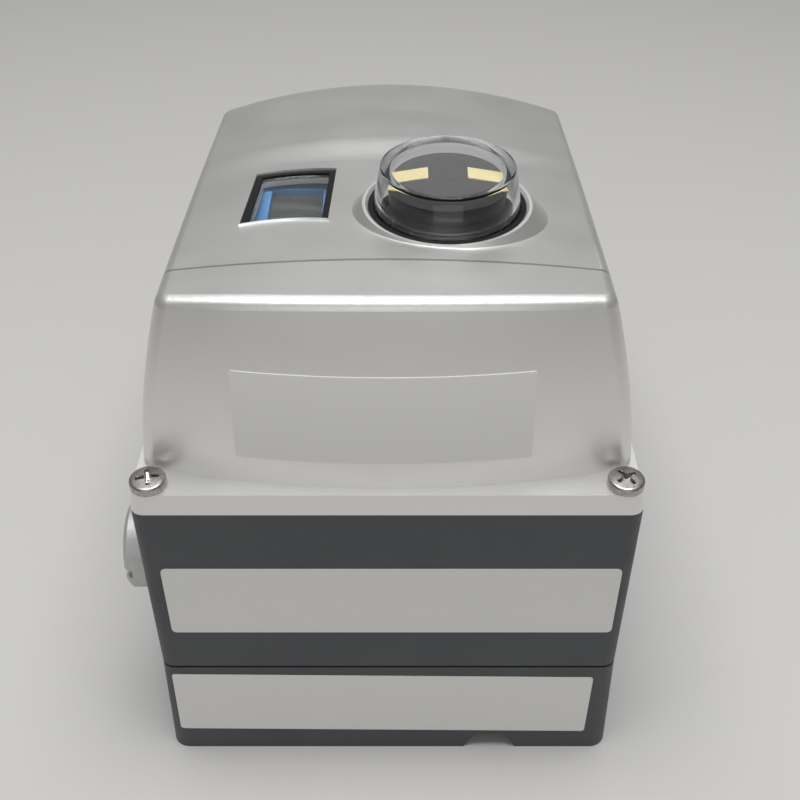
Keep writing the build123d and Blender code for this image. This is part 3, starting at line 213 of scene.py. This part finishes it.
def value_range(tree, source, low, high):
    """Number that runs from low to high with a noise."""
    spread = tree.nodes.new("ShaderNodeMapRange")
    spread.inputs["From Min"].default_value = NOISE_RANGE[0]
    spread.inputs["From Max"].default_value = NOISE_RANGE[1]
    spread.inputs["To Min"].default_value = low
    spread.inputs["To Max"].default_value = high
    tree.links.new(source.outputs["Fac"], spread.inputs["Value"])
    return spread


def relief(tree, shader, source, distance):
    """Bump from a noise on the shader's normal."""
    bump = tree.nodes.new("ShaderNodeBump")
    bump.inputs["Strength"].default_value = RELIEF_STRENGTH
    bump.inputs["Distance"].default_value = distance
    tree.links.new(source.outputs["Fac"], bump.inputs["Height"])
    tree.links.new(bump.outputs["Normal"], shader.inputs["Normal"])


def grained(name, low, high, grain, rough, metal=0.0, bump=0.0, stretch=(1.0, 1.0, 1.0), shine=0.5):
    """Material with a fine grain in its colour and its relief, and a broad one in its roughness."""
    material, tree, shader = new_tree(name)
    fine = noise_node(tree, grain, FINE_DETAIL, stretch)
    broad = noise_node(tree, BROAD_GRAIN, BROAD_DETAIL)
    ramp = colour_ramp(tree, fine, low, high)
    tree.links.new(ramp.outputs["Color"], shader.inputs["Base Color"])
    shader.inputs["Metallic"].default_value = metal
    shader.inputs["Specular IOR Level"].default_value = shine
    spread = value_range(tree, broad, rough[0], rough[1])
    tree.links.new(spread.outputs["Result"], shader.inputs["Roughness"])
    if bump:
        relief(tree, shader, fine, bump)
    return material


def clear_plastic(name, smudge, refraction):
    """Clear moulded plastic that lets lamps through to what it shuts in."""
    material, tree, shader = new_tree(name)
    shader.inputs["Base Color"].default_value = CLEAR_TINT
    shader.inputs["Transmission Weight"].default_value = 1.0
    shader.inputs["IOR"].default_value = refraction
    film = noise_node(tree, FILM_GRAIN, FINE_DETAIL)
    spread = value_range(tree, film, 0.0, smudge)
    tree.links.new(spread.outputs["Result"], shader.inputs["Roughness"])
    path = tree.nodes.new("ShaderNodeLightPath")
    open_way = tree.nodes.new("ShaderNodeBsdfTransparent")
    mixed = tree.nodes.new("ShaderNodeMixShader")
    output = tree.nodes["Material Output"]
    tree.links.new(path.outputs["Is Shadow Ray"], mixed.inputs["Fac"])
    tree.links.new(shader.outputs["BSDF"], mixed.inputs[1])
    tree.links.new(open_way.outputs["BSDF"], mixed.inputs[2])
    tree.links.new(mixed.outputs["Shader"], output.inputs["Surface"])
    return material


def paint_crease_shade(material):
    """Painted shade: a darker hairline in the colour where the bevel meets the panel, standing in for the
    crease's shade.
    """
    tree = material.node_tree
    shader = tree.nodes["Principled BSDF"]
    colour = shader.inputs["Base Color"].links[0].from_socket
    place = tree.nodes.new("ShaderNodeTexCoord")
    parts = tree.nodes.new("ShaderNodeSeparateXYZ")
    tree.links.new(place.outputs["Object"], parts.inputs["Vector"])
    near = tree.nodes.new("ShaderNodeMath")
    near.operation = "COMPARE"
    near.inputs[1].default_value = CREASE_Y
    near.inputs[2].default_value = CREASE_HALF_WIDTH
    tree.links.new(parts.outputs["Y"], near.inputs[0])
    high = tree.nodes.new("ShaderNodeMath")
    high.operation = "GREATER_THAN"
    high.inputs[1].default_value = CREASE_LOWEST
    tree.links.new(parts.outputs["Z"], high.inputs[0])
    crease_shade_mask = tree.nodes.new("ShaderNodeMath")
    crease_shade_mask.operation = "MULTIPLY"
    tree.links.new(near.outputs["Value"], crease_shade_mask.inputs[0])
    tree.links.new(high.outputs["Value"], crease_shade_mask.inputs[1])
    painted_shade = tree.nodes.new("ShaderNodeMix")
    painted_shade.data_type = "RGBA"
    painted_shade.inputs["B"].default_value = (CREASE_PAINTED_SHADE, CREASE_PAINTED_SHADE, CREASE_PAINTED_SHADE, 1.0)
    tree.links.new(crease_shade_mask.outputs["Value"], painted_shade.inputs["Factor"])
    tree.links.new(colour, painted_shade.inputs["A"])
    tree.links.new(painted_shade.outputs["Result"], shader.inputs["Base Color"])
    return material


# The cover's silver paint carries a painted shade line along the roof's crease
silver = grained(
    "silver_paint", (0.80, 0.795, 0.78), (0.86, 0.855, 0.84), 6500.0, (0.38, 0.43), metal=0.92, bump=0.00001
)
finishes = {
    "cover_paint": paint_crease_shade(silver),
    "base_paint": grained(
        "dark_paint", (0.052, 0.055, 0.060), (0.068, 0.072, 0.076), 2600.0, (0.46, 0.58), bump=0.00003
    ),
    "black_plastic": grained(
        "black_plastic", (0.008, 0.008, 0.008), (0.014, 0.014, 0.015), 1500.0, (0.38, 0.48), shine=0.16
    ),
    "yellow": grained("yellow_bars", (0.42, 0.36, 0.18), (0.47, 0.41, 0.21), 900.0, (0.4, 0.5)),
    "blue_plastic": grained("blue_plastic", (0.055, 0.19, 0.42), (0.07, 0.22, 0.47), 1200.0, (0.4, 0.5)),
    "grey_plastic": grained("grey_plastic", (0.32, 0.31, 0.29), (0.40, 0.385, 0.36), 1400.0, (0.5, 0.6)),
    "display": grained(
        "display_face", (0.040, 0.044, 0.044), (0.055, 0.060, 0.058), 700.0, (0.12, 0.2)
    ),
    "rubber": grained(
        "seal_rubber",
        (0.010, 0.010, 0.010),
        (0.018, 0.018, 0.018),
        1800.0,
        (0.6, 0.8),
        bump=0.00002,
        shine=0.12,
    ),
    "steel": grained(
        "screw_steel", (0.34, 0.33, 0.32), (0.54, 0.53, 0.51), 1300.0, (0.24, 0.36), metal=1.0, bump=0.00001
    ),
    "aluminium": grained(
        "machined_aluminium",
        (0.52, 0.52, 0.53),
        (0.66, 0.66, 0.67),
        1500.0,
        (0.3, 0.42),
        metal=1.0,
        bump=0.00001,
        stretch=(0.06, 1.0, 1.0),
    ),
    "bronze": grained(
        "sintered_bronze", (0.34, 0.22, 0.09), (0.62, 0.44, 0.20), 1900.0, (0.5, 0.7), metal=1.0, bump=0.00008
    ),
    "board": grained("circuit_board", (0.01, 0.10, 0.04), (0.02, 0.16, 0.07), 400.0, (0.35, 0.5)),
    "plug_metal": grained(
        "nickel_plate", (0.50, 0.50, 0.49), (0.58, 0.58, 0.56), 900.0, (0.45, 0.55), metal=0.6, bump=0.00001
    ),
    "dome": clear_plastic("clear_dome", 0.02, 1.49),
    "pane": clear_plastic("clear_pane", 0.04, 1.45),
}
label_film = grained("label_film", (0.74, 0.735, 0.71), (0.77, 0.765, 0.74), 5000.0, (0.44, 0.5))

slot_of = {row["node"]: row["material_slot"] for row in frame["record"]["subparts"]}
for name, node in nodes.items():
    slot = slot_of[name]
    if slot == "clear":
        slot = "pane" if name == "window_pane" else "dome"
    node.data.materials.clear()
    node.data.materials.append(finishes[slot])


# Clear cap, cover screws, window pane, frame and lip
def turned(name, profile, segments, material):
    """Closed profile of (radius, height) in millimetres, turned about the shaft axis."""
    points = []
    rings = []
    for radius, height in profile:
        if radius == 0.0:
            rings.append([len(points)] * segments)
            points.append((0.0, 0.0, height * MM))
            continue
        rings.append(list(range(len(points), len(points) + segments)))
        for step in range(segments):
            angle = 2 * math.pi * step / segments
            points.append((radius * MM * math.cos(angle), radius * MM * math.sin(angle), height * MM))
    faces = []
    for ring, following in zip(rings, rings[1:] + rings[:1]):
        for step in range(segments):
            after = (step + 1) % segments
            face = (ring[step], ring[after], following[after], following[step])
            face = tuple(dict.fromkeys(face))
            if len(face) > 2:
                faces.append(face)
    return add_piece(name, points, faces, material)


def cross_sink(x, y):
    """Depth of the cross recess at a place on a screw's head."""
    deepest = 0.0
    for along, across in ((abs(x), abs(y)), (abs(y), abs(x))):
        half = CROSS_HALF_WIDTH * (1.0 - CROSS_NARROWING * along / CROSS_REACH)
        side = min(1.0, max(0.0, (half - across) / CROSS_EDGE))
        end = min(1.0, max(0.0, (CROSS_REACH - along) / CROSS_EDGE))
        depth = CROSS_DEPTH * (1.0 - CROSS_RISE * along / CROSS_REACH)
        deepest = max(deepest, depth * side * end)
    return deepest


def screw_head(place):
    """Points and faces of one pan head screw, in millimetres."""
    middle_x, middle_y, turn = place
    flat = SCREW_RADIUS - SCREW_EDGE
    rows = [(flat * ring / SCREW_RINGS, None) for ring in range(1, SCREW_RINGS + 1)]
    for step in range(1, SCREW_EDGE_STEPS + 1):
        angle = math.pi / 2 * step / SCREW_EDGE_STEPS
        rise = SCREW_HEIGHT - SCREW_CROWN - SCREW_EDGE * (1 - math.cos(angle))
        rows.append((flat + SCREW_EDGE * math.sin(angle), rise))
    rows.append((SCREW_RADIUS, 0.0))
    rows.append((SCREW_SHANK[0], 0.0))
    rows.append((SCREW_SHANK[0], SCREW_SHANK[1]))
    points = [(middle_x, middle_y, SCREW_BASE + SCREW_HEIGHT - CROSS_DEPTH)]
    for radius, rise in rows:
        for spoke in range(SCREW_SPOKES):
            angle = 2 * math.pi * spoke / SCREW_SPOKES
            x = radius * math.cos(angle)
            y = radius * math.sin(angle)
            height = rise
            if rise is None:
                height = SCREW_HEIGHT - SCREW_CROWN * (radius / flat) ** 2 - cross_sink(x, y)
            spun = angle + math.radians(turn)
            points.append(
                (middle_x + radius * math.cos(spun), middle_y + radius * math.sin(spun), SCREW_BASE + height)
            )
    faces = []
    for spoke in range(SCREW_SPOKES):
        after = (spoke + 1) % SCREW_SPOKES
        faces.append((0, 1 + spoke, 1 + after))
        for row in range(len(rows) - 1):
            low = 1 + row * SCREW_SPOKES
            high = low + SCREW_SPOKES
            faces.append((low + spoke, high + spoke, high + after, low + after))
    tip = 1 + (len(rows) - 1) * SCREW_SPOKES
    faces.append(tuple(tip + spoke for spoke in reversed(range(SCREW_SPOKES))))
    return points, faces


def cover_screw_heads():
    """The four screws of the cover, as one piece."""
    points = []
    faces = []
    for place in SCREW_PLACES:
        head_points, head_faces = screw_head(place)
        start = len(points)
        points += [tuple(value * MM for value in point) for point in head_points]
        faces += [tuple(start + index for index in face) for face in head_faces]
    return add_piece(
        "cover_screw_heads", points, faces, finishes["steel"], crease=SCREW_CREASE_ANGLE
    )


def restacked(name, node, upper, material):
    """Copy of a window piece whose upper or lower face lies higher."""
    mesh = nodes[node].data.copy()
    mesh.name = name
    tilt = Vector((0, 0, 0))
    for face in mesh.polygons:
        if face.normal.z > PANE_FACING:
            tilt += face.normal * face.area
    tilt.normalize()
    levels = [vertex.co.dot(tilt) for vertex in mesh.vertices]
    middle = (min(levels) + max(levels)) / 2
    for vertex, height in zip(mesh.vertices, levels):
        if (height > middle) == upper:
            vertex.co += tilt * PANE_RISE * MM
    mesh.materials.clear()
    mesh.materials.append(material)
    piece = link(bpy.data.objects.new(name, mesh))
    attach(piece, "housing")
    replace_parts(piece, node)


def window_lip():
    """Thin raised lip along the front edge of the window."""
    tree = wall_tree("cover")
    points = []
    faces = []
    for step in range(LIP_STEPS + 1):
        along = LIP_HALF_WIDTH * (2 * step / LIP_STEPS - 1)
        bow = LIP_BOW * (1 - (along / LIP_HALF_WIDTH) ** 2)
        x = (LIP_MIDDLE[0] + along) * MM
        y = (LIP_MIDDLE[1] - LIP_FROM_MIDDLE + bow) * MM
        probe = Vector((x, y - LIP_PROBE_AHEAD * MM, PROBE_START))
        surface = tree.ray_cast(probe, Vector((0, 0, -1)))[0].z
        for ahead, above in LIP_SECTION:
            points.append((x, y + ahead * MM, surface + above * MM))
        if step:
            first = 4 * (step - 1)
            for edge in range(4):
                following = (edge + 1) % 4
                faces.append((first + edge, first + following, first + 4 + following, first + 4 + edge))
    faces.append((3, 2, 1, 0))
    end = 4 * LIP_STEPS
    faces.append((end, end + 1, end + 2, end + 3))
    return add_piece("window_lip", points, faces, finishes["aluminium"])


# Bare plates on the front walls
def wall_tree(name):
    """Search tree of a CAD node's faces."""
    mesh = nodes[name].data
    points = [vertex.co.copy() for vertex in mesh.vertices]
    return BVHTree.FromPolygons(points, [tuple(face.vertices) for face in mesh.polygons])


def plate_rows(width, height, corner):
    """Rows of a rounded rectangle, each as a height and a half width."""
    rows = []
    for step in range(LABEL_CORNER_ROWS + 1):
        angle = math.pi / 2 * (1 - step / LABEL_CORNER_ROWS)
        rise = corner * (1 - math.sin(angle))
        rows.append((rise - height / 2, width / 2 - corner * (1 - math.cos(angle))))
    flat = height - 2 * corner
    middle = [(corner - height / 2 + flat * step / LABEL_ROWS, width / 2) for step in range(1, LABEL_ROWS)]
    upper = [(-rise, half) for rise, half in reversed(rows)]
    return rows + middle + upper


def label_plate(name, wall, plate):
    """Thin plate that follows a front wall."""
    centre_x, centre_z, width, height, corner, turn = plate
    tree = wall_tree(wall)
    cosine = math.cos(math.radians(turn))
    sine = math.sin(math.radians(turn))
    back = []
    rows = plate_rows(width * MM, height * MM, corner * MM)
    for rise, half in rows:
        for column in range(LABEL_COLUMNS + 1):
            along = half * (2 * column / LABEL_COLUMNS - 1)
            x = centre_x * MM + along * cosine + rise * sine
            z = centre_z * MM - along * sine + rise * cosine
            back.append(tree.ray_cast(Vector((x, -PROBE_START, z)), Vector((0, 1, 0)))[0])
    front = [point - Vector((0, LABEL_THICKNESS, 0)) for point in back]
    count = len(back)
    across = LABEL_COLUMNS + 1
    last = len(rows) - 1
    faces = []
    for row in range(last):
        for column in range(LABEL_COLUMNS):
            near = row * across + column
            quad = (near, near + 1, near + across + 1, near + across)
            faces.append(tuple(count + index for index in quad))
            faces.append(tuple(reversed(quad)))
    outline = list(range(across))
    outline += [row * across + LABEL_COLUMNS for row in range(1, last + 1)]
    outline += [last * across + column for column in range(LABEL_COLUMNS - 1, -1, -1)]
    outline += [row * across for row in range(last - 1, 0, -1)]
    for first, second in zip(outline, outline[1:] + outline[:1]):
        faces.append((first, second, count + second, count + first))
    return add_piece(name, back + front, faces, label_film)


clear_cap = turned("clear_dial_cap", DOME_PROFILE, DOME_SEGMENTS, finishes["dome"])
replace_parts(clear_cap, "indicator_dome")
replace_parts(cover_screw_heads(), "cover_screws")
restacked("thick_pane", "window_pane", True, finishes["pane"])
restacked("thin_frame", "window_frame", False, finishes["black_plastic"])
window_lip()
label_plate("cover_label", "cover", COVER_LABEL)
label_plate("extension_label", "extension_housing", EXTENSION_LABEL)
label_plate("base_label", "base_housing", BASE_LABEL)


# Threads in the open entries
def thread_coil(name, mouth, way, radius, pitch, length, material):
    """Helical ridge just inside a threaded hole, from its mouth inwards."""
    way = Vector(way)
    side = Vector((0, 0, 1)) if abs(way.z) < 0.5 else Vector((1, 0, 0))
    other = way.cross(side)
    steps = int(length / pitch * THREAD_STEPS)
    depth = THREAD_DEPTH * pitch
    section = ((-THREAD_FOOT, 0.0), (-THREAD_CREST, depth), (THREAD_CREST, depth), (THREAD_FOOT, 0.0))
    points = []
    faces = []
    for step in range(steps + 1):
        angle = 2 * math.pi * step / THREAD_STEPS
        out = side * math.cos(angle) + other * math.sin(angle)
        along = pitch * (THREAD_START + step / THREAD_STEPS)
        taper = min(1.0, step / THREAD_RUN_OUT, (steps - step) / THREAD_RUN_OUT)
        for shift, reach in section:
            points.append(Vector(mouth) + out * (radius - reach * taper) - way * (along + shift * pitch))
        if step:
            first = 4 * (step - 1)
            for edge in range(4):
                following = (edge + 1) % 4
                faces.append((first + edge, first + following, first + 4 + following, first + 4 + edge))
    faces.append((0, 1, 2, 3))
    end = 4 * steps
    faces.append((end + 3, end + 2, end + 1, end))
    return add_piece(name, points, faces, material)


for mount in frame["record"]["mounts"]:
    if mount["kind"] == "threaded_hole":
        wide = mount["dims"]["r_mm"] > M20_RADIUS_FROM
        thread_coil(
            mount["name"] + "_thread",
            mount["pos_m"],
            mount["axis"],
            mount["dims"]["r_mm"] * MM,
            M20_PITCH if wide else G14_PITCH,
            mount["dims"]["length_mm"] * MM - 2 * M20_PITCH,
            finishes["base_paint"] if wide else finishes["aluminium"],
        )


# Floor, lamps and camera
def painted_shade_floor():
    """Pale matt table top with painted shade that darkens it away from the object."""
    material, tree, shader = new_tree("table_top")
    place = tree.nodes.new("ShaderNodeTexCoord")
    parts = tree.nodes.new("ShaderNodeSeparateXYZ")
    spread = tree.nodes.new("ShaderNodeMapRange")
    spread.inputs["From Min"].default_value = FLOOR_PLACES[0]
    spread.inputs["From Max"].default_value = FLOOR_PLACES[2]
    ramp = tree.nodes.new("ShaderNodeValToRGB")
    ramp.color_ramp.elements[0].color = FLOOR_PAINTED_SHADE_COLOURS[0]
    ramp.color_ramp.elements[1].color = FLOOR_PAINTED_SHADE_COLOURS[2]
    reach = FLOOR_PLACES[2] - FLOOR_PLACES[0]
    near = ramp.color_ramp.elements.new((FLOOR_PLACES[1] - FLOOR_PLACES[0]) / reach)
    near.color = FLOOR_PAINTED_SHADE_COLOURS[1]
    tree.links.new(place.outputs["Object"], parts.inputs["Vector"])
    tree.links.new(parts.outputs["Y"], spread.inputs["Value"])
    tree.links.new(spread.outputs["Result"], ramp.inputs["Fac"])
    tree.links.new(ramp.outputs["Color"], shader.inputs["Base Color"])
    shader.inputs["Roughness"].default_value = FLOOR_ROUGHNESS
    return material


def add_floor():
    """Large level floor under the object."""
    half = FLOOR_HALF_WIDTH
    corners = [(-half, -half, 0), (half, -half, 0), (half, half, 0), (-half, half, 0)]
    mesh = bpy.data.meshes.new("table_top")
    mesh.from_pydata(corners, [], [(0, 1, 2, 3)])
    mesh.materials.append(painted_shade_floor())
    link(bpy.data.objects.new("table_top", mesh))


def add_lamp(name, aim, azimuth, elevation, distance, size, radiance):
    """Soft rectangular lamp in a direction from a point, with the brightness of its face."""
    turn = math.radians(azimuth)
    rise = math.radians(elevation)
    way = Vector((math.sin(turn) * math.cos(rise), math.cos(turn) * math.cos(rise), math.sin(rise)))
    lamp = bpy.data.lights.new(name, "AREA")
    lamp.shape = "RECTANGLE"
    lamp.size, lamp.size_y = size
    lamp.energy = radiance * math.pi * size[0] * size[1]
    holder = link(bpy.data.objects.new(name, lamp))
    holder.location = Vector(aim) + way * distance
    holder.rotation_euler = (-way).to_track_quat("-Z", "Y").to_euler()


add_floor()
for lamp_row in LAMPS:
    add_lamp(lamp_row[0], LAMP_AIM, *lamp_row[1:])

world = bpy.data.worlds.new("studio")
world.use_nodes = True
sky = world.node_tree.nodes["Background"]
sky.inputs["Color"].default_value = SKY_COLOUR
sky.inputs["Strength"].default_value = SKY_STRENGTH
bpy.context.scene.world = world

camera_data = bpy.data.cameras.new("camera")
camera_data.lens = CAMERA_LENS
camera_data.sensor_width = CAMERA_SENSOR
camera_data.clip_start = CAMERA_CLIP
camera = link(bpy.data.objects.new("camera", camera_data))
camera.location = CAMERA_PLACE
camera.rotation_euler = (math.radians(CAMERA_TILT), 0.0, 0.0)
bpy.context.scene.camera = camera
bpy.context.scene.view_settings.view_transform = "Standard"
